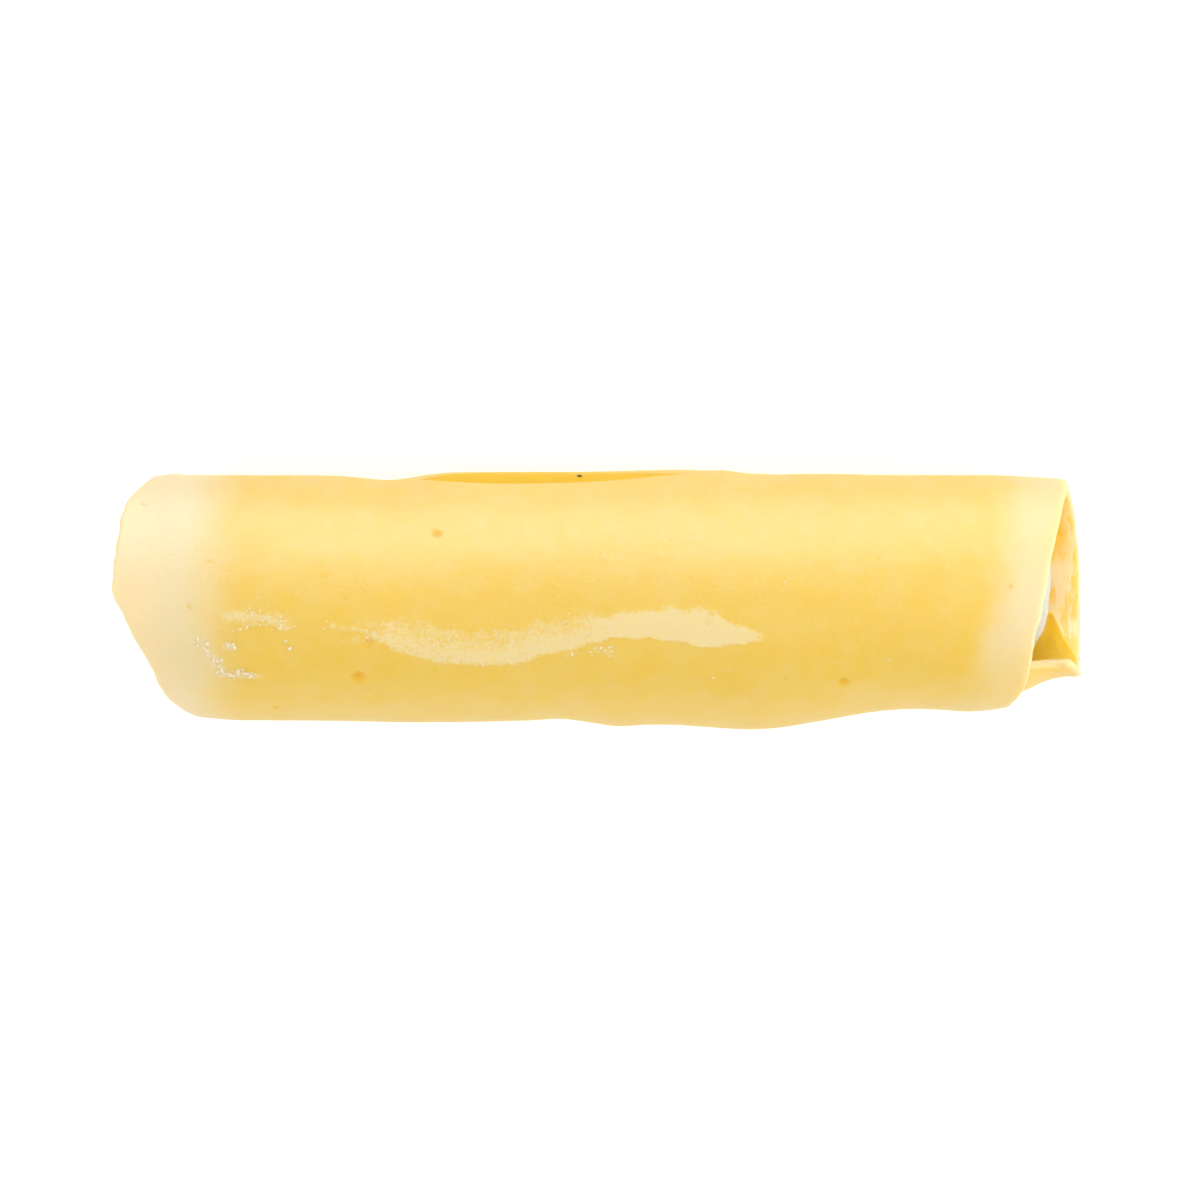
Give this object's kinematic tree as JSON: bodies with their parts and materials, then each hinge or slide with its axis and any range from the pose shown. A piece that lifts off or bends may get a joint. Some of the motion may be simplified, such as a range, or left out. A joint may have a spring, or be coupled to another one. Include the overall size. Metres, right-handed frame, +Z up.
{
  "type": "filled cannelloni roll",
  "caption": "Rolled sheet of fresh egg pasta around a soft white cheese filling, with open ends and a lapped seam, lying on its flattened underside.",
  "frame": {"origin": "middle of the footprint on the surface that the roll lies on", "axes": "+X along the roll towards its open mouth with the slanting cut, +Z up, +Y towards the side with the seam"},
  "size_m": [0.104, 0.0276, 0.0247],
  "materials": {
    "pasta": "fresh egg pasta: satin, slightly translucent, dusted with flour in patches",
    "cheese": "soft white fresh cheese: moist and crumbly",
    "flour": "dried flour and semolina specks: matte"
  },
  "bodies": {
    "root": {"pasta_sheet": "pasta", "cheese_filling": "cheese"}
  },
  "joints": []
}
